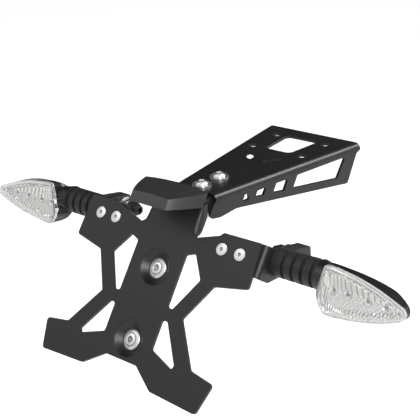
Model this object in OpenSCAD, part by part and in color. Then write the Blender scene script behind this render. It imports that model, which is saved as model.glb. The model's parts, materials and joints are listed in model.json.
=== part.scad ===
// Tail tidy with number plate bracket, plate light and two indicators.
// All values are in millimetres. X is across, Y is forward and Z is up.
// The zero point is midway between the four frame bolt holes, on the main bracket's top face.
// Each module is drawn from the main bracket's rear end, and from_mount moves it there.

/* [Main bracket] */
// Thickness of the main bracket's sheet
main_t = 2.5; // [1.5:0.1:4]
// Half width of the main bracket at its rear end
main_half = 22.8; // [20:0.1:35]
// Length of the main bracket along its centre line
main_len = 167; // [120:1:220]
// Angle that each side of the main bracket opens forward
main_taper = 9.3; // [0:0.1:15]
// Outer radius of the main bracket's folds
main_bend = 5; // [3:0.1:8]
// Distance of the first top bolt from the rear end
top_bolt_y = 10; // [8:0.5:20]
// Distance between the two top bolts
top_bolt_gap = 22; // [16:0.5:40]
// Half distance across of the holes for the bolts to the motorcycle
mount_half = 26; // [18:0.5:34]
// Distance of the rear pair of those holes from the rear end
mount_y = 112; // [60:1:120]
// Distance between the rear and the front pair
mount_gap = 36; // [20:1:60]
// Diameter of those holes
mount_hole = 8.5; // [6:0.1:11]

/* [Number plate bracket] */
// Thickness of the number plate bracket's sheet
plate_t = 2.5; // [2:0.1:4]
// Lean of the number plate bracket from the main bracket's square
plate_tilt = 35.6; // [15:0.1:45]
// Forward place of the upper plate bolt, on the face
plate_y = -50.4; // [-80:0.1:-30]
// Height of the upper plate bolt, on the face
plate_z = -48; // [-80:0.1:-30]
// Distance between the two plate bolts
plate_bolt_gap = 58.5; // [40:0.5:80]
// Half width of the neck
neck_half = 25.1; // [20:0.1:35]
// Length of the tongue under the main bracket, ahead of the bend
tongue_len = 57; // [40:1:80]
// Half width of the tongue
tongue_half = 18.5; // [10:0.5:20]
// Outer radius of the bend of the neck
neck_bend = 6; // [4:0.5:10]
// Outer radius of the pressed dishes round the plate bolts
dish_r = 14.4; // [10:0.1:18]
// Radius of the flat floor of those dishes
dish_floor = 9.2; // [8:0.1:12]
// Depth of those dishes
dish_depth = 5; // [2:0.1:8]

/* [Indicator brackets] */
// Thickness of the indicator brackets
arm_t = 2.5; // [1.5:0.1:4]
// Width of the indicator brackets
arm_w = 25.4; // [18:0.1:32]
// Place of the inner ear screw from the centre line
ear_in = 55.1; // [45:0.1:65]
// Distance between the two screws of one ear
ear_gap = 16.9; // [12:0.1:25]
// Height of the ear screws over the upper plate bolt
ear_up = 28.4; // [20:0.1:35]
// Place of the outer face of the indicator bracket's flange
arm_x = 91.2; // [80:0.1:100]

/* [Light hood] */
// Height of the hood's rim over the main bracket
hood_z = 10.7; // [5:0.1:20]
// Thickness of the hood's wall
hood_t = 2; // [1:0.1:3]
// Half width of the hood's rear face
hood_rear = 18.3; // [12:0.1:30]
// Half width of the hood's front
hood_front = 32; // [20:0.1:40]
// Rise of the hood's crown
hood_crown = 1.6; // [0.5:0.1:4]

/* [Indicators] */
// Forward place of the stem's axis
stem_y = -12.4; // [-30:0.1:10]
// Height of the stem's axis
stem_z = -33.5; // [-50:0.1:-20]
// Radius of the rubber stem
stem_r = 11.2; // [8:0.1:15]
// Distance between the stem's grooves
groove_step = 8.3; // [5:0.1:12]
// Place of the first groove
groove_x = 101.5; // [95:0.1:110]
// Place where the stem ends in the housing
stem_end = 129.5; // [120:0.1:140]
// Angle that the indicator heads sweep back
head_sweep = 2.2; // [0:0.1:10]
// Lean of the lens
lens_tilt = 6.9; // [0:0.1:15]
// Largest radius of the housing
shell_r = 18.3; // [14:0.1:24]
// Place of the housing's tip
tip_x = 207; // [180:0.5:230]
// Thickness of the housing's wall
shell_t = 1.8; // [1:0.1:3]
// Thickness of the lens
lens_t = 1.8; // [1:0.1:3]

/* [Fasteners] */
// Head diameter of the ear screws
ear_head = 9.5; // [8:0.1:12]
// Head diameter of the plate bolts
plate_head = 16; // [12:0.1:20]
// Head diameter of the top bolts
top_head = 10.5; // [9:0.1:16]
// Diameter of the washers under the top bolts
top_washer = 16; // [12:0.1:24]

/* [Hidden] */
$fn = 64;
round_step = 7.5;
main_seam = main_bend + 0.5;
main_leg = main_bend + 1;
clear = 0.25;
plate_rx = 90 - plate_tilt;
m5 = 5;
m6 = 6;
m8 = 8;
hole5 = m5 + 0.5;
hole6 = m6 + 0.6;
hole8 = m8 + 0.5;
main_slant = main_len / cos(main_taper);
lens_y = -11.7;
shell_z = -3.6;
shell_x = 140;
tip_r = 5.2;
back_r = shell_r + 0.6;
head_len = tip_x - shell_x;
head_arc = pow(head_len - tip_r, 2) / (2 * (shell_r - tip_r));
crown_r = 105;
lens_rise = 5;
flute_step = 3;
flutes = floor((head_len - 8) / flute_step);
domes = floor((head_len - 12) / 4.2);
board_y = -3.4;
board_t = 1.4;
hood_rear_out = 33.9;
hood_front_out = 9.5;
hood_bulge = 1.3;
crown_big = 320;
rim_y = -54.6;
rim_z = 4.9;
rim_tilt = 8.1;
stud_x = 12.6;
stud_y = -33;
stud_low = 0.4;
nut_low = 0.9;
nut_high = 2.2;
foot_x = 9;
foot_y = -9;
pad_t = 8.6;
pad_back = -9;
pad_front = 16.8;
pad_high = -29.3;
pad_low = -45.2;
bolt_y = 9.5;
bolt_z = -38;
stud_r = 5;
stud_out = 11;
core_r = 6;
posts_x = shell_x + 10;
// Each cup's place along the head, as a part of its length, and its radius.
cups = [[0.06, 5.6], [0.28, 6.6], [0.53, 6.2], [0.745, 3.6]];
bend_y = plate_y + (neck_bend + (plate_z * -1 - neck_bend - main_t) * sin(plate_tilt)) / cos(plate_tilt);
bend_z = -main_t - neck_bend;
bend_up = (bend_y - plate_y) * sin(plate_tilt) + (bend_z - plate_z) * cos(plate_tilt);
neck_low = [27.4, 30.8];
neck_rise = bend_up - neck_low[1];

function cup_x(c) = shell_x + c[0] * head_len;
function unit(v) = v / norm(v);
function cross2(a, b) = a[0] * b[1] - a[1] * b[0];
function flipped(pts) = [for (i = [len(pts) - 1:-1:0]) [-pts[i][0], pts[i][1]]];

// Points of the arc of radius r that rounds the corner p between a and b.
function corner(a, p, b, r) =
  let(
    u = unit(a - p),
    w = unit(b - p),
    half = acos(u * w) / 2,
    centre = p + unit(u + w) * r / sin(half),
    first = p + u * r / tan(half) - centre,
    start = atan2(first[1], first[0]),
    turn = (180 - 2 * half) * sign(cross2(p - a, b - p)),
    steps = max(2, ceil(abs(turn) / round_step))
  )
  [for (i = [0:steps]) centre + r * [cos(start + turn * i / steps), sin(start + turn * i / steps)]];

// Outline through pts, counterclockwise, with each corner rounded by its radius.
module rounded(pts, radii) {
  n = len(pts);
  polygon([for (i = [0:n - 1])
    each (radii[i] > 0 ? corner(pts[(i + n - 1) % n], pts[i], pts[(i + 1) % n], radii[i]) : [pts[i]])]);
}

// Moves its children from the main bracket's rear end to the middle of the frame bolt holes.
module from_mount() {
  translate([0, -mount_y - mount_gap / 2, 0]) children();
}

// Draws its children on the right and mirrored on the left.
module both() {
  children();
  mirror([1, 0, 0]) children();
}

// Frame of the number plate bracket: X across, Y up along the face, Z out of the face.
module on_plate() {
  translate([0, plate_y, plate_z]) rotate([plate_rx, 0, 0]) children();
}

// Frame of the right side of the main bracket: X outward from its face, Y along its fold.
module on_side() {
  translate([main_half, 0, 0]) rotate([0, 0, -main_taper]) children();
}

// Frame of an indicator head, on the stem's axis, leaned like the lens.
module on_head() {
  translate([stem_end, stem_y, stem_z]) rotate([-lens_tilt, 0, -head_sweep]) translate([-stem_end, 0, 0]) children();
}

module hexagon(across, h) {
  rotate(30) cylinder(d = across / cos(30), h = h, $fn = 6);
}

// Low domed screw with its head on Z = 0 and its shank along -Z.
module dome_screw(head, head_h, shank, length, key, key_depth) {
  ball = (pow(head / 2, 2) + pow(head_h - 0.8, 2)) / (2 * (head_h - 0.8));
  difference() {
    union() {
      cylinder(d = head, h = 0.8);
      intersection() {
        cylinder(d = head, h = head_h);
        translate([0, 0, head_h - ball]) sphere(ball);
      }
      translate([0, 0, -length]) cylinder(d = shank, h = length + 0.4);
    }
    translate([0, 0, head_h - key_depth]) hexagon(key, key_depth + 1);
  }
}

// Flanged nut with its flange on Z = 0 and its body along -Z.
module flange_nut(across, h, flange, bore) {
  difference() {
    union() {
      translate([0, 0, -h]) intersection() {
        hexagon(across, h);
        cylinder(r1 = across * 0.5, r2 = across * 0.5 + h * 1.2, h = h);
      }
      translate([0, 0, -1.4]) cylinder(d1 = across, d2 = flange, h = 0.8);
      translate([0, 0, -0.6]) cylinder(d = flange, h = 0.6);
    }
    translate([0, 0, -h - 1]) cylinder(d = bore, h = h + 2);
  }
}

module side_outline() {
  rounded([[-7.6, -15.5], [-5, -18.6], [4, -19.8], [21, -17.2], [153.3, -32.9], [164.6, -8], [main_slant, -main_seam],
    [0, -main_seam], [-2, -7]], [3.2, 3, 12, 20, 2.5, 0, 0, 0, 3]);
}

module side_windows() {
  rounded([[29.6, -13.2], [33.8, -12.6], [33, -8.2], [31, -9]], [0.8, 0.8, 0.8, 0.8]);
  rounded([[42, -13.4], [51.2, -14.7], [54.6, -8.6], [44.5, -8.8]], [0.8, 0.8, 0.8, 0.8]);
  rounded([[61.8, -15.6], [75, -17.3], [79.4, -8.4], [65.8, -8.4]], [1, 1, 1, 1]);
  rounded([[85, -18.3], [139.8, -24.6], [150, -7.6], [90.6, -7.9]], [1.5, 1.5, 1.5, 1.5]);
}

// One side's sheet, its fold and a lap of the top, each over the others a little.
module main_side() {
  on_side() {
    translate([-main_t, 0, 0]) rotate([90, 0, 90]) linear_extrude(main_t) difference() {
      side_outline();
      side_windows();
    }
    rotate([-90, 0, 0]) linear_extrude(main_slant)
      rounded([[-main_leg, 0], [0, 0], [0, main_leg], [-main_t, main_leg], [-main_t, main_t], [-main_leg, main_t]],
        [0, main_bend, 0, 0, main_bend - main_t, 0]);
  }
}

// Outline of the flat top between the two folds.
module main_flat() {
  in = main_half - main_seam * cos(main_taper);
  rear = main_seam * sin(main_taper);
  wide = in + main_slant * sin(main_taper);
  far = rear + main_slant * cos(main_taper);
  polygon([[in, rear], [wide, far], [-wide, far], [-in, rear]]);
}

module main_bracket() {
  color([0.1, 0.1, 0.11]) difference() {
    union() {
      translate([0, 0, -main_t]) linear_extrude(main_t) main_flat();
      both() main_side();
    }
    for (y = [0, top_bolt_gap]) translate([0, top_bolt_y + y, -main_t - 1]) cylinder(d = hole6, h = main_t + 2);
    both() for (y = [0, mount_gap]) translate([mount_half, mount_y + y, -main_t - 1])
      cylinder(d = mount_hole, h = main_t + 2);
    translate([0, 0, -main_t - 1]) linear_extrude(main_t + 2) {
      both() rounded([[6.4, 81], [12, 83.5], [17.6, 92], [17.6, 96.5], [12, 94.5], [6.4, 86]],
        [1, 1.5, 1, 1, 1.5, 1]);
      rounded([[-13, 112], [13, 112], [17, 152], [-17, 152]], [5, 5, 5, 5]);
    }
  }
}

// Right half of the face's outline, from the bottom notch to the neck.
half_face = [[16.2, -75.3], [36.2, -89], [81.1, -91.1], [87.5, -66.6], [64.8, -63], [42, -30.3],
  [59.1, 0], [88.7, 6], [87.2, 41.1], [58.5, 40.9], neck_low, [neck_half, bend_up]];
half_r = [2, 3, 3, 3, 3, 2, 3, 3, 1.5, 5, 2, 0];

module face_outline() {
  left = flipped(half_face);
  n = len(half_r);
  rounded(concat(half_face, left), concat(half_r, [for (i = [n - 1:-1:0]) half_r[i]]));
}

module face_windows() {
  both() {
    rounded([[24.8, 16.1], [25, -25.8], [30.6, -25.8], [45.9, 1.4], [33.4, 19.4]], [2, 2, 2, 2.5, 2]);
    rounded([[24.8, -36], [24.8, -59.6], [53.3, -69.8], [30.3, -36]], [2, 2, 2.5, 2]);
  }
}

// Pressed dish of the same sheet, its rim on Z = 0.
module dish() {
  rotate_extrude() polygon([[0, -dish_depth], [dish_floor, -dish_depth], [dish_r, 0], [dish_r + 0.4, 0],
    [dish_r + 0.4, -plate_t], [dish_r - 1.2, -plate_t], [dish_floor - 0.8, -dish_depth - plate_t],
    [0, -dish_depth - plate_t]]);
}

// The upper neck, its bend and the tongue under the main bracket, in one section.
module neck_fold() {
  lean = tan(plate_tilt);
  low = plate_z + (bend_up - 8) * cos(plate_tilt);
  under = -main_t - plate_t;
  end = bend_y + tongue_len;
  front = [plate_y + (low - plate_z) * lean, low];
  knee = [plate_y + (-main_t - plate_z) * lean, -main_t];
  inner_knee = [plate_y + (under - plate_z) * lean, under];
  back = [plate_t / cos(plate_tilt), 0];
  intersection() {
    translate([-neck_half, 0, 0]) rotate([90, 0, 90]) linear_extrude(neck_half * 2)
      rounded([front + back, inner_knee + back, [end, under], [end, -main_t], knee, front],
        [0, neck_bend - plate_t, 0, 0, neck_bend, 0]);
    translate([0, 0, -60]) linear_extrude(80)
      rounded([[-neck_half, -60], [neck_half, -60], [neck_half, bend_y + 2], [tongue_half, bend_y + 5],
        [tongue_half, end], [-tongue_half, end], [-tongue_half, bend_y + 5], [-neck_half, bend_y + 2]],
        [0, 0, 1, 1, 5, 5, 1, 1]);
  }
}

// Frame of the neck's right edge: X outward, Y up along the edge, Z out of the face.
module on_neck_edge() {
  on_plate() translate([neck_low[0], neck_low[1], 0])
    rotate([0, 0, atan((neck_low[0] - neck_half) / neck_rise)]) children();
}

// Right edge of the neck, folded back and deeper towards the bend.
module neck_flange() {
  on_neck_edge() translate([-plate_t, 0, 0]) rotate([90, 0, 90]) linear_extrude(plate_t)
    rounded([[3.3, -1], [3.3, -plate_t - 0.6], [8, -plate_t - 2.5], [neck_rise - 6.6, -11.5], [neck_rise - 3.7, -12.7],
      [neck_rise + 4.2, -4.9], [neck_rise + 2.2, -1.8]], [0, 0, 8, 5, 2, 0, 0]);
}

// What is cut away outside the neck's rounded right edge.
module neck_trim() {
  r = 1.8;
  on_neck_edge() translate([0, 3, 0]) rotate([-90, 0, 0]) linear_extrude(neck_rise + 5)
    polygon(concat(corner([-9, 0], [-0.08, 0], [-0.08, 9], r), [[-0.08, 20], [3, 20], [3, -1], [-r - 0.08, -1]]));
}

module plate_bracket() {
  color([0.2, 0.2, 0.21]) difference() {
    union() {
      on_plate() {
        translate([0, 0, -plate_t]) linear_extrude(plate_t) difference() {
          face_outline();
          face_windows();
          for (y = [0, -plate_bolt_gap]) translate([0, y]) circle(dish_r);
        }
        for (y = [0, -plate_bolt_gap]) translate([0, y, 0]) dish();
      }
      neck_fold();
      both() neck_flange();
    }
    on_plate() {
      for (y = [0, -plate_bolt_gap]) translate([0, y, -20]) cylinder(d = hole8, h = 30);
      both() for (x = [0, ear_gap]) translate([ear_in + x, ear_up, -10]) cylinder(d = hole5, h = 20);
    }
    both() neck_trim();
    for (y = [0, top_bolt_gap]) translate([0, top_bolt_y + y, -10]) cylinder(d = hole6, h = 20);
    both() translate([foot_x, foot_y, -10]) cylinder(d = 3.7, h = 20);
  }
}

// Outline of the hood seen along its rear face, X across and Y out of the number plate bracket.
module hood_section(inset) {
  rise = hood_rear_out - hood_front_out;
  chord = norm([hood_front - hood_rear, rise]);
  arc = chord * chord / (8 * hood_bulge) + hood_bulge / 2;
  mid = [(hood_front + hood_rear) / 2, (hood_front_out + hood_rear_out) / 2];
  inward = [-rise, hood_rear - hood_front] / chord;
  centre = mid + inward * (arc - hood_bulge);
  low = hood_front_out - (inset > 0 ? 5 : 0);
  intersection() {
    translate(centre) circle(arc - inset);
    translate([-centre[0], centre[1]]) circle(arc - inset);
    translate([-50, low]) square([100, hood_rear_out - inset - low]);
  }
}

// The hood's volume, drawn in by inset. Its skirt runs parallel to the number plate bracket.
module hood_body(inset) {
  intersection() {
    on_plate() rotate([90, 0, 0]) translate([0, 0, -90]) linear_extrude(90) hood_section(inset);
    translate([0, 0, hood_z + hood_crown - crown_big]) rotate([90, 0, 0])
      cylinder(r = crown_big - inset, h = 200, center = true, $fn = 180);
    on_hood_rim() translate([-60, -30, inset > 0 ? -10 : 0]) cube([120, 120, 60]);
  }
}

// Frame of the hood's lower rim: Y along the rim, Z up out of it.
module on_hood_rim() {
  translate([0, rim_y, rim_z]) rotate([-rim_tilt, 0, 0]) children();
}

module light_hood() {
  color([0.3, 0.3, 0.31]) {
    difference() {
      hood_body(0);
      hood_body(hood_t);
    }
    both() translate([stud_x, stud_y, stud_low]) cylinder(d = 3, h = hood_z - stud_low + 0.4);
  }
}

// The plate light's volume over a plane parallel to the hood's rim.
module light_block() {
  intersection() {
    translate([-15, -45, -main_t]) cube([30, 20.5, 20]);
    translate([0, 0, hood_z + hood_crown - crown_big]) rotate([90, 0, 0])
      cylinder(r = crown_big - hood_t, h = 200, center = true, $fn = 180);
    union() {
      on_hood_rim() translate([-40, -20, 1.5]) cube([80, 120, 40]);
      translate([-30, -28.5, -main_t]) cube([60, 10, 20]);
    }
  }
}

module plate_light_body() {
  color([0.08, 0.08, 0.08]) difference() {
    union() {
      light_block();
      translate([-15, -28.5, -main_t]) cube([30, 25.5, 3]);
    }
    // Room for the lens and its board.
    on_hood_rim() translate([-11, 11, 0]) cube([22, 14, 4.5]);
    both() translate([stud_x, stud_y, -10]) cylinder(d = 3.4, h = 30);
    both() translate([foot_x, foot_y, -main_t - 1]) cylinder(d = 3.4, h = 8);
  }
}

module plate_light_lens() {
  color([0.85, 0.88, 0.9]) on_hood_rim() difference() {
    union() {
      translate([-11 + clear, 11 + clear, 0.2]) cube([22 - 2 * clear, 14 - 2 * clear, 2.2]);
      translate([-8, 13, -0.6]) cube([16, 10, 1.4]);
    }
    translate([-9.5, 12.5, 0.8]) cube([19, 11, 3]);
  }
}

module plate_light_board() {
  color([0.1, 0.3, 0.15]) on_hood_rim() {
    translate([-11 + clear, 11 + clear, 2.4]) cube([22 - 2 * clear, 14 - 2 * clear, 1.2]);
    for (x = [-6, 0, 6], y = [15.5, 20.5]) translate([x - 1.4, y - 1.4, 1.4]) cube([2.8, 2.8, 1.1]);
  }
}

module plate_light_screws() {
  color([0.75, 0.76, 0.78]) both() translate([foot_x, foot_y, -main_t - plate_t]) mirror([0, 0, 1])
    dome_screw(7, 2.2, 3.36, 5.4, 2.5, 1.4);
}

module hood_nuts() {
  color([0.75, 0.76, 0.78]) both() translate([stud_x, stud_y, nut_low]) difference() {
    hexagon(5.5, nut_high);
    translate([0, 0, -1]) cylinder(d = 3.04, h = 10);
  }
}

module top_bolts() {
  color([0.78, 0.79, 0.8]) for (y = [0, top_bolt_gap]) translate([0, top_bolt_y + y, 1.6])
    dome_screw(top_head, 3.4, m6, 16, 4, 2);
}

module top_washers() {
  color([0.78, 0.79, 0.8]) for (y = [0, top_bolt_gap]) translate([0, top_bolt_y + y, 0]) difference() {
    cylinder(d = top_washer, h = 1.6);
    translate([0, 0, -1]) cylinder(d = 6.4, h = 4);
  }
}

module top_nuts() {
  color([0.7, 0.71, 0.72]) for (y = [0, top_bolt_gap]) translate([0, top_bolt_y + y, -main_t - plate_t])
    flange_nut(10, 6, 14, m6 + 0.04);
}

module plate_bolts() {
  color([0.78, 0.79, 0.8]) on_plate() for (y = [0, -plate_bolt_gap]) translate([0, y, -dish_depth])
    dome_screw(plate_head, 3.8, m8, 16, 5, 2.4);
}

module plate_nuts() {
  color([0.7, 0.71, 0.72]) on_plate() for (y = [0, -plate_bolt_gap])
    translate([0, y, -dish_depth - plate_t]) flange_nut(13, 8, 16.6, m8 + 0.04);
}

module at_ear_screws() {
  both() on_plate() for (x = [0, ear_gap]) translate([ear_in + x, ear_up, 0]) children();
}

module ear_screws() {
  color([0.78, 0.79, 0.8]) at_ear_screws() dome_screw(ear_head, 2.75, m5, 14, 3, 1.6);
}

module ear_nuts() {
  color([0.7, 0.71, 0.72]) at_ear_screws() translate([0, 0, -plate_t - arm_t])
    flange_nut(8, 5.2, 11.4, m5 + 0.04);
}

// Side outline of the bracket's flange, X forward and Y up.
module flange_outline() {
  rounded([[-35.6, -39.3], [-26.4, -45.7], [pad_back, -46.8], [pad_front + 1.2, pad_low], [pad_front, pad_high],
    [-15.6, -23.3], [-20.8, -18.7]], [0, 2, 8, 3, 2, 3, 0]);
}

module indicator_bracket() {
  inner = arm_x - arm_t;
  color([0.16, 0.16, 0.17]) difference() {
    union() {
      on_plate() translate([0, ear_up + arm_w / 2, 0]) rotate([90, 0, 0]) linear_extrude(arm_w)
        rounded([[46, -plate_t - arm_t], [inner, -plate_t - arm_t], [inner, -14], [arm_x, -14],
          [arm_x, -plate_t], [46, -plate_t]], [0, 1.5, 0, 0, 4, 0]);
      translate([inner, 0, 0]) rotate([90, 0, 90]) linear_extrude(arm_t) flange_outline();
    }
    on_plate() for (x = [0, ear_gap]) translate([ear_in + x, ear_up, -10]) cylinder(d = hole5, h = 20);
    on_plate() for (y = [-1, 1]) translate([46, ear_up + y * arm_w / 2, -10]) rotate(45)
      translate([-3, -3]) cube([6, 6, 10]);
    translate([inner - 1, bolt_y, bolt_z]) rotate([0, 90, 0]) cylinder(r = stud_r + clear, h = arm_t + 2);
  }
}

// Rubber stem with its foot, moulded in one.
module indicator_stem() {
  color([0.12, 0.12, 0.12]) difference() {
    union() {
      translate([arm_x, stem_y, stem_z]) rotate([0, 90, 0]) cylinder(r = stem_r, h = stem_end - arm_x);
      translate([arm_x, 0, 0]) rotate([90, 0, 90]) linear_extrude(pad_t)
        rounded([[pad_back, -45.6], [pad_front + 1.2, pad_low], [pad_front, pad_high], [-14, -23.2]], [6, 3, 2, 3]);
    }
    for (i = [0:3]) translate([groove_x + groove_step * i, stem_y, stem_z]) rotate([0, 90, 0]) difference() {
      translate([0, 0, -1.4]) cylinder(r = stem_r + 3, h = 2.8);
      translate([0, 0, -2]) cylinder(r = stem_r - 2.2, h = 4);
    }
    translate([arm_x + 3, stem_y, stem_z]) rotate([0, 90, 0]) cylinder(r = core_r, h = 60);
    translate([arm_x - 1, bolt_y, bolt_z]) rotate([0, 90, 0]) cylinder(r = stud_r, h = pad_t);
    translate([arm_x + 2, bolt_y, bolt_z]) rotate([0, 90, 0]) cylinder(r = stud_r + 2, h = 2.4);
  }
}

// Stiff tube inside the rubber stem, keyed into the housing by its collar.
module indicator_core() {
  color([0.5, 0.5, 0.52]) translate([arm_x + 3, stem_y, stem_z]) rotate([0, 90, 0]) difference() {
    union() {
      cylinder(r = core_r, h = stem_end + 5 - arm_x - 3);
      translate([0, 0, stem_end + 3.2 - arm_x - 3]) cylinder(r = core_r + 2, h = 2.6);
    }
    translate([0, 0, -1]) cylinder(r = 3, h = 120);
  }
}

// Frame of the indicator's mounting stud, Z outward along it from the inner face of the flange.
module on_stud() {
  translate([arm_x - arm_t, bolt_y, bolt_z]) rotate([0, 90, 0]) children();
}

// Hollow stud moulded into the stem's foot, which also lets the wires through.
module indicator_stud() {
  color([0.7, 0.71, 0.72]) on_stud() difference() {
    union() {
      translate([0, 0, -stud_out]) cylinder(r = stud_r, h = stud_out + arm_t + 4.4);
      translate([0, 0, arm_t + 2]) cylinder(r = stud_r + 2, h = 2.4);
    }
    translate([0, 0, -60]) cylinder(r = 3.2, h = 120);
  }
}

module indicator_washers() {
  color([0.75, 0.76, 0.77]) both() on_stud() translate([0, 0, -1.6]) difference() {
    cylinder(r = 8.6, h = 1.6);
    translate([0, 0, -1]) cylinder(r = stud_r + 0.2, h = 4);
  }
}

module indicator_nuts() {
  color([0.75, 0.76, 0.77]) both() on_stud() translate([0, 0, -1.6 - 6]) difference() {
    intersection() {
      hexagon(14, 6);
      cylinder(r1 = 7.3, r2 = 13.3, h = 6);
    }
    translate([0, 0, -1]) cylinder(r = stud_r + 0.02, h = 20);
  }
}

module cable_grommets() {
  color([0.1, 0.1, 0.1]) both() on_stud() translate([0, 0, -stud_out - 7]) difference() {
    union() {
      cylinder(r1 = 3.8, r2 = 5.2, h = 3);
      translate([0, 0, 3]) cylinder(r = 5.2, h = 2);
      translate([0, 0, 5]) cylinder(r = 6.2, h = 5);
    }
    translate([0, 0, -1]) cylinder(r = 2.4, h = 20);
    translate([0, 0, 7]) cylinder(r = stud_r, h = 10);
  }
}

// Half outline from x0 to x1, r wide at most, its tip rounded by tip and lifted, drawn in by inset.
module head_profile(x0, x1, r, tip, lift, inset) {
  start = x0 + 9;
  join = x1 - tip + 1.2;
  drop = r - lift - sqrt(tip * tip - 1.44) + 0.06;
  arc = (pow(join - start, 2) + drop * drop) / (2 * drop);
  intersection() {
    union() {
      translate([x1 - tip, lift]) circle(tip - inset);
      translate([x1 - tip, -1]) square([tip - inset, lift + 1]);
      intersection() {
        translate([start, r - arc]) circle(arc - inset, $fn = 720);
        translate([start, -1]) square([join - start, r + 1]);
      }
      translate([start, r - 9]) circle(9 - inset);
      translate([x0 + inset, -1]) square([9 - inset, r - 8]);
    }
    translate([0, -0.5]) square([x1 + 10, r + 1.5]);
  }
}

// The head's volume behind the lens plane's axis, turned about it.
module shell_body(inset) {
  on_head() translate([0, lens_y, shell_z]) rotate([0, 90, 0]) rotate_extrude($fn = 144) mirror([1, -1])
    intersection() {
      head_profile(shell_x - 9.6, tip_x + 0.6, back_r, 10, 3.7, inset);
      square([tip_x + 10, back_r + 1]);
    }
}

// The lens's outline raised from the head's local y0 to y1, drawn in by inset.
module head_prism(inset, y0, y1) {
  on_head() translate([0, y1, shell_z]) rotate([90, 0, 0]) linear_extrude(y1 - y0) union() {
    head_profile(shell_x - 9, tip_x, shell_r, tip_r, 0, inset);
    mirror([0, 1]) head_profile(shell_x - 9, tip_x, shell_r, tip_r, 0, inset);
  }
}

// Slab across the head, from its local y0 to y1.
module head_slab(y0, y1) {
  on_head() translate([100, y0, -40]) cube([130, y1 - y0, 80]);
}

module indicator_housing() {
  color([0.06, 0.06, 0.06]) difference() {
    union() {
      intersection() {
        shell_body(0);
        head_prism(0, lens_y, lens_y + 30);
      }
      intersection() {
        translate([stem_end, stem_y, stem_z]) rotate([0, 90, 0]) cylinder(r1 = stem_r + 0.6, r2 = 6, h = 26);
        head_slab(lens_y, 40);
      }
    }
    intersection() {
      shell_body(shell_t);
      head_prism(shell_t, lens_y - 1, lens_y + 30);
      union() {
        on_head() translate([stem_end + 9, lens_y - 1, -40]) cube([130, 60, 80]);
        head_slab(lens_y - 1, board_y - 5.4);
      }
    }
    translate([stem_end - 1, stem_y, stem_z]) rotate([0, 90, 0]) cylinder(r = core_r, h = 6);
    translate([stem_end + 3.2, stem_y, stem_z]) rotate([0, 90, 0]) cylinder(r = core_r + 2, h = 3.2);
    translate([stem_end, stem_y, stem_z]) rotate([0, 90, 0]) cylinder(r = 3, h = 14);
  }
  color([0.06, 0.06, 0.06]) intersection() {
    shell_body(shell_t / 2);
    head_prism(shell_t / 2, lens_y + 1, lens_y + 30);
    on_head() for (x = [posts_x, posts_x + 32]) translate([x, board_y - 5.5, shell_z])
      rotate([-90, 0, 0]) cylinder(r = 1.8, h = 30);
  }
}

module lens_crown(inset) {
  on_head() translate([100, lens_y - lens_rise + crown_r, shell_z]) rotate([0, 90, 0])
    cylinder(r = crown_r - inset, h = 120, $fn = 360);
}

// Lens with a domed face and two grooves round its edge.
module indicator_lens() {
  color([0.8, 0.82, 0.84]) difference() {
    intersection() {
      head_prism(0, lens_y - 10, lens_y);
      lens_crown(0);
    }
    intersection() {
      head_prism(lens_t, lens_y - 10, lens_y + 1);
      lens_crown(lens_t);
    }
    for (y = [1.1, 2.5]) difference() {
      head_prism(-1, lens_y - y - 0.6, lens_y - y);
      head_prism(0.5, lens_y - y - 1, lens_y - y + 1);
    }
  }
}

// Half width of the lens at x.
function lens_half(x) = shell_r - pow(max(0, x - shell_x), 2) / (2 * head_arc);

module indicator_reflector() {
  face = lens_y + 0.2;
  color([0.85, 0.86, 0.87]) difference() {
    union() {
      head_prism(shell_t + 0.2, face, board_y - 5.5);
      // Upright flutes on the upper half.
      intersection() {
        head_prism(shell_t + 0.8, face - 3, face + 1);
        on_head() for (i = [0:flutes - 1]) translate([shell_x - 3 + i * flute_step, face, shell_z + 1.5])
          cylinder(r = flute_step * 0.48, h = 40, $fn = 32);
      }
      // Row of small domes along the lower edge.
      on_head() for (i = [0:domes - 1]) let(x = shell_x - 1 + i * 4.2)
        translate([x, face, shell_z - lens_half(x) + 5.2]) sphere(1.9, $fn = 32);
    }
    on_head() for (c = cups) translate([cup_x(c), lens_y, shell_z]) rotate([-90, 0, 0])
      translate([0, 0, -2]) cylinder(r1 = c[1] + 0.8, r2 = c[1] * 0.45, h = 5.7);
  }
}

module indicator_board() {
  start = shell_x + 2;
  color([0.75, 0.77, 0.75]) {
    difference() {
      intersection() {
        shell_body(shell_t + 1.4);
        head_slab(board_y - board_t, board_y);
        head_prism(shell_t + 1.4, lens_y, lens_y + 30);
        on_head() translate([start, -30, -40]) cube([cup_x(cups[3]) + 3 - start, 60, 80]);
      }
      on_head() for (x = [posts_x, posts_x + 32]) translate([x, board_y - 5, shell_z]) rotate([-90, 0, 0])
        cylinder(r = 1.84, h = 12);
    }
    on_head() for (c = cups) translate([cup_x(c) - 1.8, board_y - board_t - 2.2, shell_z - 1.8])
      cube([3.6, 2.2, 3.6]);
  }
}

from_mount() main_bracket();
from_mount() plate_bracket();
from_mount() light_hood();
from_mount() plate_light_body();
from_mount() plate_light_lens();
from_mount() plate_light_board();
from_mount() plate_light_screws();
from_mount() hood_nuts();
from_mount() top_bolts();
from_mount() top_washers();
from_mount() top_nuts();
from_mount() plate_bolts();
from_mount() plate_nuts();
from_mount() ear_screws();
from_mount() ear_nuts();
from_mount() mirror([1, 0, 0]) indicator_bracket();  // indicator_bracket_left
from_mount() indicator_bracket();  // indicator_bracket_right
from_mount() mirror([1, 0, 0]) indicator_stem();  // indicator_stem_left
from_mount() indicator_stem();  // indicator_stem_right
from_mount() mirror([1, 0, 0]) indicator_core();  // indicator_core_left
from_mount() indicator_core();  // indicator_core_right
from_mount() mirror([1, 0, 0]) indicator_stud();  // indicator_stud_left
from_mount() indicator_stud();  // indicator_stud_right
from_mount() indicator_washers();
from_mount() indicator_nuts();
from_mount() cable_grommets();
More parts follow.
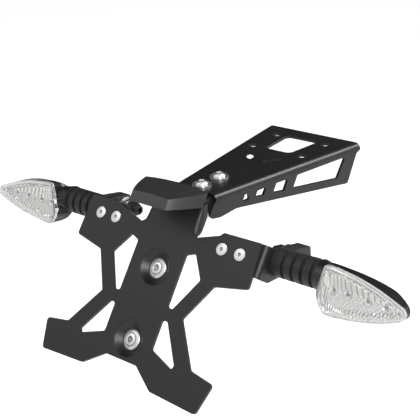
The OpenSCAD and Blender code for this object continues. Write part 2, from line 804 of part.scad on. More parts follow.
from_mount() mirror([1, 0, 0]) indicator_housing();  // indicator_housing_left
from_mount() indicator_housing();  // indicator_housing_right
from_mount() mirror([1, 0, 0]) indicator_lens();  // indicator_lens_left
from_mount() indicator_lens();  // indicator_lens_right
from_mount() mirror([1, 0, 0]) indicator_reflector();  // indicator_reflector_left
from_mount() indicator_reflector();  // indicator_reflector_right
from_mount() mirror([1, 0, 0]) indicator_board();  // indicator_board_left
from_mount() indicator_board();  // indicator_board_right
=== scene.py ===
import json
import math

import bmesh
import bpy
from mathutils import Matrix, Vector


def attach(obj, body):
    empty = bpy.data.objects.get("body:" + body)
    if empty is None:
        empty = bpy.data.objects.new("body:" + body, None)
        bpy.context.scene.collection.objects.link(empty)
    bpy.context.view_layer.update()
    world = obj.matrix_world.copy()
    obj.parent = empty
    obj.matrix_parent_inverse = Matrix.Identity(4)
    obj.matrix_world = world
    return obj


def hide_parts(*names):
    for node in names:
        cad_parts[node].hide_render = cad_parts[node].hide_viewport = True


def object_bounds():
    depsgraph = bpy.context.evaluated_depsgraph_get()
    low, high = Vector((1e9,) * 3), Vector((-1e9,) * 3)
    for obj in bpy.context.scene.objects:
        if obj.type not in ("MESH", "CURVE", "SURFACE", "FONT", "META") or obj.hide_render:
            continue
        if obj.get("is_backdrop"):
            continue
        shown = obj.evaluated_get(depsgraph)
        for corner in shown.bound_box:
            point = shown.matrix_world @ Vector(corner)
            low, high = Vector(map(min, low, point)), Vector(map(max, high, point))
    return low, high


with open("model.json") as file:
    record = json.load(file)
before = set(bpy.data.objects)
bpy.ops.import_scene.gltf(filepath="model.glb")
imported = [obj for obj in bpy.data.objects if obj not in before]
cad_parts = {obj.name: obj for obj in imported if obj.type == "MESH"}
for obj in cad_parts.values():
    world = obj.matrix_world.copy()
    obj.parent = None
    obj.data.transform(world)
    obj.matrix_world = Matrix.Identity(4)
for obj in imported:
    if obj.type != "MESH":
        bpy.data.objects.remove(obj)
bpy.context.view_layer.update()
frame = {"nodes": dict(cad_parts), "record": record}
nodes = frame["nodes"]
mm = 0.001


# Helpers.

def linear(code):
    # sRGB hex to the linear colour that the shaders take
    parts = [int(code[i:i + 2], 16) / 255 for i in (0, 2, 4)]
    return tuple(p / 12.92 if p <= 0.04045 else ((p + 0.055) / 1.055) ** 2.4 for p in parts) + (1,)


def ease(t):
    t = min(1.0, max(0.0, t))
    return t * t * (3 - 2 * t)


def addObject(name, mesh, material=None):
    data = bpy.data.meshes.new(name)
    mesh.to_mesh(data)
    mesh.free()
    thing = bpy.data.objects.new(name, data)
    bpy.context.scene.collection.objects.link(thing)
    if material:
        data.materials.append(material)
    return thing


def cutPlane(mesh, point, normal):
    bmesh.ops.bisect_plane(mesh, geom=mesh.verts[:] + mesh.edges[:] + mesh.faces[:], plane_co=point,
        plane_no=normal, dist=0.0001 * mm)


def roundEdges(mesh, edges, radius, segments):
    bmesh.ops.bevel(mesh, geom=edges, offset=radius * mm, offset_type="OFFSET", segments=segments,
        profile=0.5, affect="EDGES", clamp_overlap=True, material=-1)


def shadeSmooth(mesh, below):
    # smooth but for edges of this many degrees or more
    for face in mesh.faces:
        face.smooth = True
    for edge in mesh.edges:
        edge.smooth = not edge.is_manifold or edge.calc_face_angle() < math.radians(below)


def thicken(mesh, faces, offset):
    # turns a sheet into a closed piece
    wall = bmesh.ops.extrude_face_region(mesh, geom=faces, use_keep_orig=True)
    moved = [g for g in wall["geom"] if isinstance(g, bmesh.types.BMVert)]
    bmesh.ops.translate(mesh, verts=moved, vec=offset)


# Camera, solved from the mirrored pairs of screws and corners.

camera = {
    "place": (0.48295, -0.67683, 0.28343),
    "right": (0.77011, 0.63676, -0.03830),
    "up": (-0.21645, 0.31730, 0.92329),
    "lens": 84.8,  # mm on a 36 mm sensor
}


def placeCamera(c):
    data = bpy.data.cameras.new("studioCamera")
    data.lens = c["lens"]
    data.sensor_width = 36
    data.clip_start, data.clip_end = 0.01, 200
    eye = bpy.data.objects.new("studioCamera", data)
    bpy.context.scene.collection.objects.link(eye)
    right, up = Vector(c["right"]).normalized(), Vector(c["up"])
    up = (up - right * up.dot(right)).normalized()
    turn = Matrix((right, up, right.cross(up))).transposed().to_4x4()
    eye.matrix_world = Matrix.Translation(c["place"]) @ turn
    bpy.context.scene.camera = eye


placeCamera(camera)
print("camera placed")


# Studio: a pale floor well under the part, which hangs by its bolts, and soft boxes.

studio = {
    "floorDrop": 0.32,  # m from the part's lowest point
    "floorSize": 60,
    "floorColour": "fafafa",
    "floorInGloss": "dddddd",  # a greyer table round the sheet, seen only in reflections
    "skyColour": "ffffff",
    "skyStrength": 1.0,
    "glossTone": 0.74,  # the tent is dimmer in reflections than on the floor
    "flagDirection": (-0.60, 0.70, 0.38),  # a dark cloth hangs this way, seen only in reflections
    "flagEdge": (0.3, 0.78),  # cosines where the cloth starts and where it is full
    "flagDepth": 0.95,  # share of the sky that it takes away
    "cardsAim": (0, -0.15, 0),
    "cards": [
        # name, place, width and height of a black card that only reflections show
        ("cardLeft", (-1.25, -0.55, -0.12), (0.22, 0.6)),
        ("cardMiddle", (-0.75, -1.15, -0.12), (0.2, 0.6)),
        ("cardRight", (0.05, -1.35, -0.12), (0.22, 0.6)),
    ],
    "boxes": [
        # name, place, aims at, size, watts
        ("keyBox", (-0.9, -1.1, 1.2), (0, -0.15, -0.05), (0.9, 0.9), 2),
        ("edgeBox", (0.72, 0.75, 1.0), (0, -0.10, 0), (0.45, 0.45), 16),
        ("dishBox", (0.98, -0.78, 0.82), (0, -0.17, -0.06), (0.45, 0.8), 16),
    ],
}


def addNode(tree, kind, inputs=None, **settings):
    node = tree.nodes.new(kind)
    for name, value in settings.items():
        setattr(node, name, value)
    for socket, value in (inputs or {}).items():
        if isinstance(value, bpy.types.NodeSocket):
            tree.links.new(value, node.inputs[socket])
        else:
            node.inputs[socket].default_value = value
    return node


def startMaterial(name):
    material = bpy.data.materials.new(name)
    material.use_nodes = True
    tree = material.node_tree
    shader = tree.nodes["Principled BSDF"]
    place = addNode(tree, "ShaderNodeTexCoord").outputs["Object"]
    return material, tree, shader, place


def mixTone(tree, shader, factor, first, second):
    tone = addNode(tree, "ShaderNodeMix", {"Factor": factor, "A": linear(first), "B": linear(second)},
        data_type="RGBA")
    tree.links.new(tone.outputs["Result"], shader.inputs["Base Color"])


def aimed(place, at, axis):
    # the matrix of something at this place whose axis points there
    look = (Vector(at) - Vector(place)).to_track_quat(axis, "Y")
    return Matrix.Translation(place) @ look.to_matrix().to_4x4()


def layFloor(s):
    # Matt seamless paper: pale, with no shine.
    paper, tree, shader, place = startMaterial("seamlessPaper")
    glossy = addNode(tree, "ShaderNodeLightPath").outputs["Is Glossy Ray"]
    mixTone(tree, shader, glossy, s["floorColour"], s["floorInGloss"])
    shader.inputs["Roughness"].default_value = 0.9
    shader.inputs["Specular IOR Level"].default_value = 0.1
    mesh = bmesh.new()
    bmesh.ops.create_grid(mesh, x_segments=8, y_segments=8, size=s["floorSize"] / 2)
    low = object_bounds()[0].z
    bmesh.ops.translate(mesh, verts=mesh.verts, vec=(0, 0, low - s["floorDrop"]))
    floor = addObject("studioFloor", mesh, paper)
    floor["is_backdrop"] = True


def hangSky(s):
    world = bpy.data.worlds.new("studioSky")
    bpy.context.scene.world = world
    world.use_nodes = True
    tree = world.node_tree
    sky = tree.nodes["Background"]
    direction = addNode(tree, "ShaderNodeTexCoord").outputs["Generated"]
    towards = addNode(tree, "ShaderNodeVectorMath", {0: direction,
        1: Vector(s["flagDirection"]).normalized()}, operation="DOT_PRODUCT")
    shade = addNode(tree, "ShaderNodeMapRange", {"Value": towards.outputs["Value"],
        "From Min": s["flagEdge"][0], "From Max": s["flagEdge"][1], "To Max": s["flagDepth"]},
        interpolation_type="SMOOTHSTEP")
    left = addNode(tree, "ShaderNodeMath", {0: 1.0, 1: shade.outputs["Result"]}, operation="SUBTRACT")
    gloss = addNode(tree, "ShaderNodeMath", {0: left.outputs["Value"], 1: s["glossTone"]},
        operation="MULTIPLY")
    glossy = addNode(tree, "ShaderNodeLightPath").outputs["Is Glossy Ray"]
    level = addNode(tree, "ShaderNodeMix", {"Factor": glossy, "A": s["skyStrength"],
        "B": gloss.outputs["Value"]})
    sky.inputs["Color"].default_value = linear(s["skyColour"])
    tree.links.new(level.outputs["Result"], sky.inputs["Strength"])


def hangCards(s):
    # Matt black card.
    black, tree, shader, place = startMaterial("blackCard")
    shader.inputs["Base Color"].default_value = linear("050505")
    shader.inputs["Roughness"].default_value = 1
    for name, place, size in s["cards"]:
        mesh = bmesh.new()
        bmesh.ops.create_grid(mesh, x_segments=1, y_segments=1, size=0.5)
        bmesh.ops.scale(mesh, vec=(size[0], size[1], 1), verts=mesh.verts)
        bmesh.ops.transform(mesh, matrix=aimed(place, s["cardsAim"], "Z"), verts=mesh.verts)
        card = addObject(name, mesh, black)
        card.visible_camera = False
        card.visible_diffuse = False
        card.visible_shadow = False
        card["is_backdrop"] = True


def placeBoxes(s):
    for name, place, aim, size, watts in s["boxes"]:
        data = bpy.data.lights.new(name, "AREA")
        data.shape = "RECTANGLE"
        data.size, data.size_y = size
        data.energy = watts
        box = bpy.data.objects.new(name, data)
        bpy.context.scene.collection.objects.link(box)
        box.matrix_world = aimed(place, aim, "-Z")


layFloor(studio)
hangSky(studio)
hangCards(studio)
placeBoxes(studio)
bpy.context.scene.view_settings.view_transform = "Standard"
print("studio built")


# Finishes. Sizes of patterns and depths of reliefs are in mm.

def noise(tree, place, size, detail):
    return addNode(tree, "ShaderNodeTexNoise", {"Vector": place, "Scale": 1 / (size * mm),
        "Detail": detail}).outputs["Fac"]


def roughen(tree, shader, factor, low, high):
    rough = addNode(tree, "ShaderNodeMapRange", {"Value": factor, "To Min": low, "To Max": high})
    tree.links.new(rough.outputs["Result"], shader.inputs["Roughness"])


def emboss(tree, shader, height, strength, depth):
    bump = addNode(tree, "ShaderNodeBump", {"Strength": strength, "Distance": depth * mm, "Height": height})
    tree.links.new(bump.outputs["Normal"], shader.inputs["Normal"])


def attribute(tree, name):
    return addNode(tree, "ShaderNodeAttribute", attribute_name=name).outputs["Fac"]


def powderCoat():
    # Black polyester powder on folded aluminium: sprayed and baked, so satin with a fine orange peel.
    material, tree, shader, place = startMaterial("blackPowderCoat")
    drift = noise(tree, place, 38, 3)
    mixTone(tree, shader, drift, "0d0d0e", "131314")
    roughen(tree, shader, drift, 0.36, 0.46)
    emboss(tree, shader, noise(tree, place, 1.1, 2), 0.25, 0.05)
    return material


def hoodCoatPaintedLighter():
    # The hood's black coat: smoother than the bracket's, a soft gloss that takes a long gradient, with a
    # lighter tone that is painted light for the brighter hood top.
    material, tree, shader, place = startMaterial("blackHoodCoatPaintedLighter")
    drift = noise(tree, place, 22, 3)
    # painted light: lighter tones than the bracket's coat of the same black
    mixTone(tree, shader, drift, "1d1d1e", "29292a")
    roughen(tree, shader, drift, 0.28, 0.36)
    emboss(tree, shader, noise(tree, place, 0.9, 2), 0.12, 0.03)
    return material


def mouldedRubber():
    # EPDM rubber from a mould: deep black and matt, with a soft grey bloom on the raised parts.
    material, tree, shader, place = startMaterial("mouldedRubber")
    mixTone(tree, shader, noise(tree, place, 9, 4), "131313", "222222")
    emboss(tree, shader, noise(tree, place, 0.7, 3), 0.3, 0.06)
    shader.inputs["Roughness"].default_value = 0.5
    shader.inputs["IOR"].default_value = 1.52
    shader.inputs["Specular IOR Level"].default_value = 0.36  # the bloom dulls the shine
    return material


def mouldedAbs():
    # Black ABS moulded in a lightly spark-eroded tool, which leaves a fine even grain.
    material, tree, shader, place = startMaterial("blackAbs")
    grain = addNode(tree, "ShaderNodeTexVoronoi", {"Vector": place, "Scale": 1 / (0.6 * mm)})
    emboss(tree, shader, grain.outputs["Distance"], 0.16, 0.04)
    roughen(tree, shader, noise(tree, place, 14, 3), 0.22, 0.32)
    shader.inputs["Base Color"].default_value = linear("121212")
    shader.inputs["IOR"].default_value = 1.53
    return material


def clearPolycarbonate():
    # Injection-moulded clear polycarbonate: glossy, with an index set a little under the real 1.58.
    material, tree, shader, place = startMaterial("clearPolycarbonate")
    shader.inputs["Base Color"].default_value = linear("f8f8f7")
    shader.inputs["Transmission Weight"].default_value = 0.9  # the moulded ribs inside scatter the rest
    shader.inputs["IOR"].default_value = 1.45
    roughen(tree, shader, noise(tree, place, 7, 2), 0.02, 0.08)
    return material


def metallisedPlastic():
    # Vacuum-metallised reflector: bright aluminium on moulded plastic, a little hazy.
    material, tree, shader, place = startMaterial("metallisedPlastic")
    shader.inputs["Metallic"].default_value = 1
    # The grooves, which "groove" marks on the mesh, are painted grey: painted shade in the reflector's
    # crevices.
    mixTone(tree, shader, attribute(tree, "groove"), "f6f6f5", "3a3a3a")
    haze = noise(tree, place, 3, 4)
    roughen(tree, shader, haze, 0.08, 0.2)
    emboss(tree, shader, haze, 0.4, 0.3)
    return material


def stainlessSteel():
    # A2 stainless steel, cold headed and tumbled: bright with a fine random scratch.
    material, tree, shader, place = startMaterial("stainlessSteel")
    shader.inputs["Metallic"].default_value = 1
    # Sockets and grooves, which an attribute on the mesh marks, are painted dark: painted shade in the
    # recesses.
    mixTone(tree, shader, attribute(tree, "recessShade"), "ececec", "303030")
    scratch = noise(tree, place, 0.5, 4)
    roughen(tree, shader, scratch, 0.24, 0.4)
    emboss(tree, shader, scratch, 0.12, 0.02)
    return material


def zincPlate():
    # Bright zinc on carbon steel: cooler and duller than stainless, with a cloudy passivate.
    material, tree, shader, place = startMaterial("zincPlate")
    shader.inputs["Metallic"].default_value = 1
    cloud = noise(tree, place, 4, 4)
    mixTone(tree, shader, cloud, "a9abae", "c6c8ca")
    roughen(tree, shader, cloud, 0.28, 0.45)
    return material


def greyAcetal():
    # Grey acetal tube: moulded, waxy and even.
    material, tree, shader, place = startMaterial("greyAcetal")
    mixTone(tree, shader, noise(tree, place, 5, 3), "77777a", "868689")
    shader.inputs["Roughness"].default_value = 0.5
    return material


def whiteSolderMask():
    # Circuit board under white solder mask: faint tracks show as a square pattern.
    material, tree, shader, place = startMaterial("whiteSolderMask")
    tracks = addNode(tree, "ShaderNodeTexBrick", {"Vector": place, "Scale": 1 / (6 * mm),
        "Color1": linear("e4e6e2"), "Color2": linear("d9dcd6"), "Mortar": linear("b9bdb4"),
        "Mortar Size": 0.04})
    tree.links.new(tracks.outputs["Color"], shader.inputs["Base Color"])
    shader.inputs["Roughness"].default_value = 0.35
    return material


finishes = {
    "black_coat": powderCoat(),
    "rubber": mouldedRubber(),
    "black_plastic": mouldedAbs(),
    "clear_plastic": clearPolycarbonate(),
    "reflector": metallisedPlastic(),
    "circuit_board": whiteSolderMask(),
    "grey_plastic": greyAcetal(),
    "zinc_steel": zincPlate(),
    "stainless_steel": stainlessSteel(),
}
# the hood's coat, painted lighter as painted light
hoodFinishPaintedLighter = hoodCoatPaintedLighter()
print("finishes made")


# Most CAD nodes are shown by a merged copy with its sharp edges eased.

easing = {
    # node name starts with: (edge radius in mm, edges sharper than this many degrees)
    "main_bracket": (0.35, 35),
    "plate_bracket": (0.35, 35),
    "light_hood": (0.4, 25),
    "indicator_bracket": (0.35, 35),
    "indicator_stem": (0.35, 35),
    "indicator_housing": (0.3, 35),
    "indicator_lens": (0.15, 35),
    "top_": (0.2, 35),
    "plate_bolts": (0.25, 35),
    "plate_nuts": (0.2, 35),
    "plate_light_screws": (0.15, 35),
    "plate_light_body": (0.4, 35),
    "ear_": (0.15, 35),
    "indicator_washers": (0.15, 35),
    "indicator_nuts": (0.2, 35),
    "cable_grommets": (0.3, 35),
}


def slotOf(node):
    return next(p["material_slot"] for p in frame["record"]["subparts"] if p["node"] == node)


# Number plate bracket: its neck's edges roll back, and the press leaves soft shoulders on its dishes.

plateFace = {
    "tilt": 35.6,  # degrees that the plate bracket leans
    "origin": (-180.4, -48.0),  # mm, Y and Z of the upper plate bolt
}

neck = {
    "corner": 30.8,  # mm up the face, where the neck starts
    "halfWidth": 27.4,  # mm there
    "narrowing": 0.104,  # mm narrower for each mm up
    "rollWidth": 5.6,  # the neck's edges are rolled back over this width
    "rollDepth": 4.2,
    "rollRoundness": 0.98,
    "rollStarts": (31.5, 4),  # mm up the face, and the length over which the roll grows
    "rollEnds": (55, 5),
    "rollBehind": 14,  # only what lies less than this behind the face is rolled
    "spare": 0.4,  # what lies further out than this from the edge stays
    "cutsAcross": (19.2, 20.6, 21.8, 22.9, 23.8, 24.6),
    "cutsUp": (32.5, 34.5, 37, 44, 50, 53),
    # The folded flange behind each edge is drawn in to flangeDepth, so that the roll hides it.
    "flangeInner": 21,  # mm from the middle
    "flangeUp": (33, 54),
    "flangeDepth": 3.4,
    "flangeGrowth": 0.16,  # and deeper by this for each mm up from flangeGrowsFrom
    "flangeGrowsFrom": 34,
    "flangeReach": 13.2,  # only what lies less deep than this is drawn in
    "flangeRear": -140.5,  # and only what lies further to the rear than this Y
}

dishes = {
    "rim": 14.4,  # mm from the bolt's axis
    "onRim": 0.25,  # an edge this near the rim, and this near the face, is softened
    "onFace": 0.05,
    "soften": 1.3,  # mm wide
    "segments": 4,
}


def onFace(y, z):
    # place along the face (up) and behind it (back), in mm, of a point given by Y and Z in m
    t = math.radians(plateFace["tilt"])
    dy, dz = y / mm - plateFace["origin"][0], z / mm - plateFace["origin"][1]
    return dy * math.sin(t) + dz * math.cos(t), dy * math.cos(t) - dz * math.sin(t)


def faceAxes():
    # the face's origin and the directions up and behind it
    t = math.radians(plateFace["tilt"])
    origin = Vector((0, plateFace["origin"][0] * mm, plateFace["origin"][1] * mm))
    return origin, Vector((0, math.sin(t), math.cos(t))), Vector((0, math.cos(t), -math.sin(t)))


def rollNeck(mesh, n):
    # cut rows across the neck first, then turn its edges back
    origin, up, back = faceAxes()
    for x in n["cutsAcross"]:
        for side in (1, -1):
            cutPlane(mesh, Vector((side * x * mm, 0, 0)), Vector((1, 0, 0)))
    for u in n["cutsUp"]:
        cutPlane(mesh, origin + up * u * mm, up)
    for v in mesh.verts:
        x = abs(v.co.x) / mm
        u, b = onFace(v.co.y, v.co.z)
        edge = n["halfWidth"] - n["narrowing"] * (u - n["corner"])
        turned = min(1.0, max(0.0, (x - edge + n["rollWidth"]) / n["rollWidth"]))
        fade = min(1.0, max(0.0, (u - n["rollStarts"][0]) / n["rollStarts"][1]))
        fade *= min(1.0, max(0.0, (n["rollEnds"][0] - u) / n["rollEnds"][1]))
        deepest = n["flangeDepth"] + n["flangeGrowth"] * max(0.0, u - n["flangeGrowsFrom"])
        inFlange = x > n["flangeInner"] and n["flangeUp"][0] < u < n["flangeUp"][1]
        if inFlange and deepest < b < n["flangeReach"] and v.co.y < n["flangeRear"] * mm:
            v.co += back * ((deepest - b) * mm)
            b = deepest
        if turned > 0 and fade > 0 and b < n["rollBehind"] and x < edge + n["spare"]:
            drop = 1 - math.sqrt(1 - turned * turned * n["rollRoundness"])
            v.co += back * (n["rollDepth"] * drop * fade * mm)


# Button heads of the screws: pressed flatter than the plain domes of the CAD, with painted shade in their
# sockets and grooves.

pressing = {
    "above": 0.85,  # mm over the seat, only what stands higher is pressed
    "rim": 0.8,  # the height that stays as it is
    "socketEdge": 0.98,  # of the socket's radius
    "socketTop": 1.9,  # mm over the seat, only what lies lower is the socket's floor
    "socketShade": 0.75,  # painted shade of socket and groove, from 0 to 1
    "grooveShade": 0.6,
}

buttonHeads = {
    "ear_screws": {
        "places": [(55.1, 28.4), (72.0, 28.4)],  # mm across and up the face
        "seat": 0.0,  # mm in front of the face
        "socket": 1.85,  # radius
        "socketSink": 0.95,  # mm that its floor sinks
        "kept": 0.3,  # share of the dome's rise
        "groove": (0, 0),  # radii
        "grooveDepth": 0,
        "cuts": [],
    },
    "plate_bolts": {
        "places": [(0.0, 0.0), (0.0, -58.5)],
        "seat": -5.0,
        "socket": 3.0,
        "socketSink": 0.8,
        "kept": 0.6,
        "groove": (4.85, 5.5),
        "grooveDepth": 0.6,
        "cuts": [1.8 + 0.15 * k for k in range(15)],  # mm over the seat, for the groove's rings
    },
}


def pressHeads(mesh, h, p):
    origin, up, back = faceAxes()
    for cut in h["cuts"]:
        cutPlane(mesh, origin - back * ((h["seat"] + cut) * mm), back)
    recessShade = mesh.verts.layers.float.new("recessShade")
    for v in mesh.verts:
        u, b = onFace(v.co.y, v.co.z)
        rise = -b - h["seat"]
        away = min(math.hypot(abs(v.co.x) / mm - x, u - y) for x, y in h["places"])
        if rise > p["above"]:
            inSocket = away <= h["socket"] * p["socketEdge"] and rise <= p["socketTop"]
            inGroove = h["groove"][0] < away < h["groove"][1]
            lower = (rise - p["rim"]) * (1 - h["kept"]) + inGroove * h["grooveDepth"]
            # painted shade: the socket and the groove are marked dark
            v[recessShade] = p["socketShade"] if inSocket else p["grooveShade"] * inGroove
            v.co += back * ((h["socketSink"] if inSocket else lower) * mm)


def softenDishes(mesh, c):
    def onRim(v):
        u, b = onFace(v.co.y, v.co.z)
        return abs(b) < c["onFace"] and any(abs(math.hypot(v.co.x / mm, u - y) - c["rim"]) < c["onRim"]
            for x, y in buttonHeads["plate_bolts"]["places"])
    rim = [e for e in mesh.edges if all(onRim(v) for v in e.verts)]
    roundEdges(mesh, rim, c["soften"], c["segments"])


# Main bracket: the first opening in each wall is wider than in the CAD.

smallHole = {
    "wall": (22.8, -130.0),  # mm, X and Y where the wall starts
    "flare": 9.3,  # degrees
    "thickness": 3,  # mm, a little over the sheet's
    "centre": (31.9, -10.8),  # mm along the wall and up
    "reach": 3.4,  # mm round the centre
    "grown": (1.75, 1.3),  # times longer and higher
}


def widenHole(mesh, c):
    turn = math.radians(c["flare"])
    startX, startY = c["wall"]
    for v in mesh.verts:
        dx, dy = abs(v.co.x) / mm - startX, v.co.y / mm - startY
        across = dx * math.cos(turn) - dy * math.sin(turn)
        along = dx * math.sin(turn) + dy * math.cos(turn) - c["centre"][0]
        up = v.co.z / mm - c["centre"][1]
        if math.hypot(along, up) < c["reach"] and abs(across) < c["thickness"]:
            along = c["centre"][0] + along * c["grown"][0]
            up = c["centre"][1] + up * c["grown"][1]
            x = startX + across * math.cos(turn) + along * math.sin(turn)
            y = startY - across * math.sin(turn) + along * math.cos(turn)
            v.co = Vector((math.copysign(x, v.co.x), y, up)) * mm


# Indicator heads: the lens's outline as in the part's source, and the free shape of its inner end and tip.

lens = {
    "start": 131.0,  # mm along the head
    "corner": (140.0, 9.3),  # centre of the inner corners, along and up
    "cornerRadius": 9.0,
    "half": 18.3,
    "arc": 155.86,  # radius of the long sides
    "tipFrom": 203.0,  # where the tip's round end takes over
    "tipFromInset": 0.3,  # and this much sooner for each mm of inset
    "tip": 201.8,  # centre of the round end
    "tipRadius": 5.2,
}

head = {
    "pivot": (129.5, -142.4, -33.5),  # mm, the stem's end
    "tilt": -6.9,  # degrees
    "sweep": -2.2,
    "axis": -3.6,  # the lens's middle line below the stem's axis
    "plane": -11.7,  # the lens's seat in front of the stem's axis
    "start": 130.9,  # mm along the head, only what lies beyond is reshaped
    "skirt": (3, 10),  # mm behind the plane, where the new shape starts to fade, and over which length
    "innerEnd": 156.0,  # the inner end is drawn in up to here
    "squareness": 0.93,  # of the inner corners, 0 round and 1 square
    # height over the middle line and place of the lens's inner end
    "corners": [(-18.3, 143.0), (-12.0, 138.5), (-4.0, 136.5), (15.0, 140.6), (18.3, 141.4)],
    "tipStart": 189.0,  # from here the housing is shallower towards its tip
    "tipLength": 17,
    "tipShare": 0.42,  # of the depth, taken off at the tip
}


def lensHalf(x, inset):
    # half width of the lens's outline
    along, up = lens["corner"]
    if x < along:
        return up + math.sqrt(max(0.0, (lens["cornerRadius"] - inset) ** 2 - (along - x) ** 2))
    if x < lens["tipFrom"] - inset * lens["tipFromInset"]:
        return lens["half"] - lens["arc"] + math.sqrt((lens["arc"] - inset) ** 2 - (x - along) ** 2)
    return math.sqrt(max(0.0, (lens["tipRadius"] - inset) ** 2 - (x - lens["tip"]) ** 2))


def headPlace(side):
    # from the head's own frame to the object's
    pivot = Vector(head["pivot"]) * mm
    turn = Matrix.Rotation(math.radians(head["sweep"]), 4, "Z")
    turn = turn @ Matrix.Rotation(math.radians(head["tilt"]), 4, "X")
    mirror = Matrix.Diagonal((side, 1, 1, 1))
    return mirror @ Matrix.Translation(pivot) @ turn @ Matrix.Translation((-pivot.x, 0, 0))


def shapeHead(x, y, z):
    # x along the head, y behind the lens's plane, z above its middle line, all in mm
    far = head["innerEnd"]
    weight = 1 - ease((y - head["skirt"][0]) / head["skirt"][1])
    if x > far or weight <= 0:
        return x, z
    # first the round corners become square ones
    fromX, fromZ = x, z
    cornerX, cornerZ = lens["corner"]
    across, up = cornerX - x, abs(z) - cornerZ
    if across > 0 and up > 0:
        grown = 1 + head["squareness"] * (math.hypot(across, up) / max(across, up) - 1)
        x, z = cornerX - across * grown, math.copysign(cornerZ + up * grown, z)
    # then the end leans
    target = head["corners"]
    for (z0, x0), (z1, x1) in zip(target, target[1:]):
        if z <= z1 or z1 == target[-1][0]:
            goal = x0 + (x1 - x0) * (z - z0) / (z1 - z0)
            break
    moved = goal + (x - lens["start"]) * (far - goal) / (far - lens["start"])
    return fromX + (moved - fromX) * weight, fromZ + (z - fromZ) * weight


def reshapeHead(mesh, side, shallower):
    place = headPlace(side)
    back = place.inverted()
    for v in mesh.verts:
        at = back @ v.co / mm
        if at.x < head["start"]:
            continue
        x, z = shapeHead(at.x, at.y - head["plane"], at.z - head["axis"])
        tip = ease((x - head["tipStart"]) / head["tipLength"])
        behind = max(0.0, at.y - head["plane"]) * shallower * tip
        v.co = place @ (Vector((x, at.y - behind, z + head["axis"])) * mm)


# Dressing of the nodes.

copying = {
    "mergeWithin": 0.002,  # mm
    "flatBelow": 0.4,  # degrees, faces that meet at less are joined
    "edgeSegments": 2,
    "smoothBelow": 32,
}


def easedCopy(node, radius, sharper, c):
    mesh = bmesh.new()
    mesh.from_mesh(nodes[node].data)
    bmesh.ops.remove_doubles(mesh, verts=mesh.verts, dist=c["mergeWithin"] * mm)
    bmesh.ops.dissolve_limit(mesh, angle_limit=math.radians(c["flatBelow"]), verts=mesh.verts,
        edges=mesh.edges)
    if node == "main_bracket":
        widenHole(mesh, smallHole)
    if node == "plate_bracket":
        softenDishes(mesh, dishes)
        rollNeck(mesh, neck)
    if node in buttonHeads:
        pressHeads(mesh, buttonHeads[node], pressing)
    if node.startswith(("indicator_housing", "indicator_lens")):
        side = 1 if node.endswith("right") else -1
        reshapeHead(mesh, side, head["tipShare"] if "housing" in node else 0)
    sharp = [e for e in mesh.edges if e.is_manifold and e.calc_face_angle() > math.radians(sharper)]
    roundEdges(mesh, sharp, radius, c["edgeSegments"])
    shadeSmooth(mesh, c["smoothBelow"])
    piece = addObject(node + "Eased", mesh)
    # keeps the wide faces flat beside the eased edges
    flat = piece.modifiers.new("flatFaces", "WEIGHTED_NORMAL")
    flat.keep_sharp = True
    return piece


def dressNodes():
    for node, cad in nodes.items():
        if node.startswith("indicator_reflector"):
            continue
        finish = hoodFinishPaintedLighter if node == "light_hood" else finishes[slotOf(node)]
        edges = next((v for k, v in easing.items() if node.startswith(k)), None)
        if edges:
            piece = easedCopy(node, *edges, copying)
            piece.data.materials.append(finish)
            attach(piece, "root")
            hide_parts(node)
        else:
            cad.data.materials.clear()
            cad.data.materials.append(finish)


dressNodes()
print("pieces dressed")


# Reflector of each indicator: a metallised bowl with flutes above, a row of cups and small beads below.

reflector = {
    "start": 131.4,  # mm along the head
    "end": 206.6,
    "inset": 0.4,  # inside the lens's outline
    "columns": 216,
    "rows": 64,
    "thickness": 0.8,
    "mergeWithin": 0.001,
    "smoothBelow": 50,  # degrees
    "flange": 1.6,  # mm wide, under the lens's foot
    "flangeWider": 1.5,  # along the top
    "flangeWidens": 6,  # over this height
    "flangeLift": 0.1,  # in front of the lens's plane
    "flangeWall": 0.5,  # width of the step from the flange to the bowl
    "flangeStepShade": 0.35,  # how grey the step is
    "depth": 1.8,  # painted shade on the step
    "bowl": 3.0,  # rise of its edge, over the width below
    "bowlWidth": 4.0,
    "upper": (0.8, 1.6),  # mm over the middle line where the flutes start, and over which length
    "fluteStep": 4.6,
    "fluteLean": 0.3,  # mm along for each mm up
    "fluteRise": 1.2,
    "fluteSharpness": 3,
    "innerEnd": (7.1, 1.5),  # width of the bands at the inner end, and over which length they stop
    "bandStep": 2.4,
    "bandRise": 0.8,
    "bandSharpness": 1.5,
    "facetStep": 3.4,
    "facetRise": 0.5,
    "facetSharpness": 4,
    # painted shade in the facets' grooves
    "facetGrooveShade": 0.5,
    "beadRow": (4.8, 1.1),  # mm from the lower edge, and how wide
    "beadStep": 3.0,
    "beadRise": 1.1,
    "beadSharpness": 1.2,
    "cups": [(144.0, 3.6), (158.8, 3.8), (175.5, 3.6), (189.9, 2.6)],  # mm along the head, radius
    "cupDepth": 1.5,
    "cupRimShade": (0.5, 6),  # painted shade at the rim, and how sharp
    "cupGrooveShade": 0.4,  # share of the other grooves' painted shade that stays in a cup
    "bulb": 1.5,  # radius
    "bulbRise": 1.6,
    "roof": (2.9, 206),  # mm in front of the plane that the lens leaves free, and twice its radius
}


def wave(along, step):
    return abs(math.sin(math.pi * along / step))


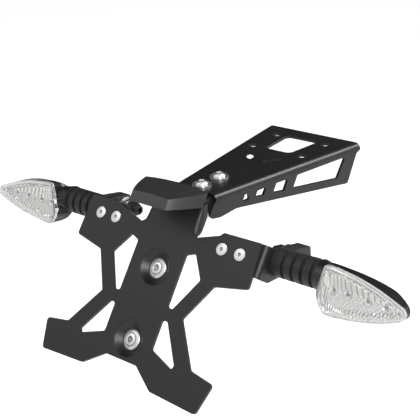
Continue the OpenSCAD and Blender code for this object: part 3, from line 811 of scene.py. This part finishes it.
def reflectorRise(r, x, z, half):
    # how far a point of the bowl stands out, and how much painted shade it takes for lying in a groove,
    # from 0 to 1
    along = x - r["start"]
    fromEdge = min(half - abs(z), along, r["end"] - x)
    flange = r["flange"] + r["flangeWider"] * ease(z / r["flangeWidens"])
    if fromEdge < flange:
        drop = ease((fromEdge - flange + r["flangeWall"]) / r["flangeWall"])
        foot = r["depth"] + r["flangeLift"]
        return foot + (r["bowl"] - foot) * drop, r["flangeStepShade"] * (1 - abs(2 * drop - 1))
    upper = ease((z - r["upper"][0]) / r["upper"][1])
    atEnd = (1 - upper) * (1 - ease((along - r["innerEnd"][0]) / r["innerEnd"][1]))
    inField = 1 - upper - atEnd
    nearBeads = math.exp(-((half + z - r["beadRow"][0]) / r["beadRow"][1]) ** 2)
    flute = wave(along + r["fluteLean"] * z, r["fluteStep"])
    band = wave(along, r["bandStep"])
    facet = wave(x + z, r["facetStep"]) * wave(x - z, r["facetStep"])
    bead = wave(x, r["beadStep"])
    rise = r["bowl"] * (1 - ease((fromEdge - flange) / r["bowlWidth"]))
    rise += upper * r["fluteRise"] * flute + atEnd * r["bandRise"] * band
    rise += inField * r["facetRise"] * facet + nearBeads * r["beadRise"] * bead
    groove = upper * (1 - flute) ** r["fluteSharpness"] + atEnd * (1 - band) ** r["bandSharpness"]
    groove += inField * (1 - facet) ** r["facetSharpness"] * r["facetGrooveShade"]
    groove += nearBeads * (1 - bead) ** r["beadSharpness"]
    for cx, radius in r["cups"]:
        away = math.hypot(x - cx, z)
        if away < radius:
            outward = (away / radius) ** 2
            rise = -r["cupDepth"] * (1 - outward) + rise * outward
            groove = max(groove * r["cupGrooveShade"], r["cupRimShade"][0] * (away / radius) ** r["cupRimShade"][1])
        if away < r["bulb"]:
            rise += r["bulbRise"] * math.sqrt(1 - (away / r["bulb"]) ** 2)
            groove = 1.0
    return min(rise, r["depth"] + r["roof"][0] - z * z / r["roof"][1]), min(1.0, groove)


def makeReflector(name, side, r):
    mesh = bmesh.new()
    # painted shade of each point, from 0 to 1, read by the reflector's finish
    groove = mesh.verts.layers.float.new("groove")
    bmesh.ops.create_grid(mesh, x_segments=r["columns"], y_segments=r["rows"], size=1)
    for v in mesh.verts:
        x = r["start"] + (v.co.x + 1) / 2 * (r["end"] - r["start"])
        half = lensHalf(x, r["inset"])
        z = v.co.y * half
        rise, v[groove] = reflectorRise(r, x, z, half)
        x, z = shapeHead(x, 0, z)
        v.co = Vector((x, head["plane"] + r["depth"] - rise, head["axis"] + z)) * mm
    bmesh.ops.remove_doubles(mesh, verts=mesh.verts, dist=r["mergeWithin"] * mm)
    thicken(mesh, mesh.faces[:], (0, r["thickness"] * mm, 0))
    bmesh.ops.transform(mesh, matrix=headPlace(side), verts=mesh.verts)
    bmesh.ops.recalc_face_normals(mesh, faces=mesh.faces)
    shadeSmooth(mesh, r["smoothBelow"])
    return addObject(name, mesh, finishes["reflector"])


for name, side in (("right", 1), ("left", -1)):
    piece = makeReflector("reflector_" + name, side, reflector)
    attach(piece, "root")
    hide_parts("indicator_reflector_" + name)
print("reflectors made")


# Folded edges of the tongue, nested inside the main bracket's channel.

tongueEdge = {
    "outer": 18.4,  # mm from the middle
    "inner": 16.2,
    # Y and Z of its corners in mm
    "outline": [(-144.5, -4.8), (-143.5, -12.5), (-139.0, -15.5), (-122.0, -13.0), (-116.0, -4.8)],
    "rounding": 0.4,
    "segments": 2,
}


def makeTongueEdge(name, side, c):
    mesh = bmesh.new()
    corners = [mesh.verts.new((side * c["inner"] * mm, y * mm, z * mm)) for y, z in c["outline"]]
    thicken(mesh, [mesh.faces.new(corners)], (side * (c["outer"] - c["inner"]) * mm, 0, 0))
    bmesh.ops.recalc_face_normals(mesh, faces=mesh.faces)
    roundEdges(mesh, mesh.edges[:], c["rounding"], c["segments"])
    return addObject(name, mesh, finishes["black_coat"])


for name, side in (("right", 1), ("left", -1)):
    piece = makeTongueEdge("tongue_edge_" + name, side, tongueEdge)
    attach(piece, "root")
print("tongue edges made")
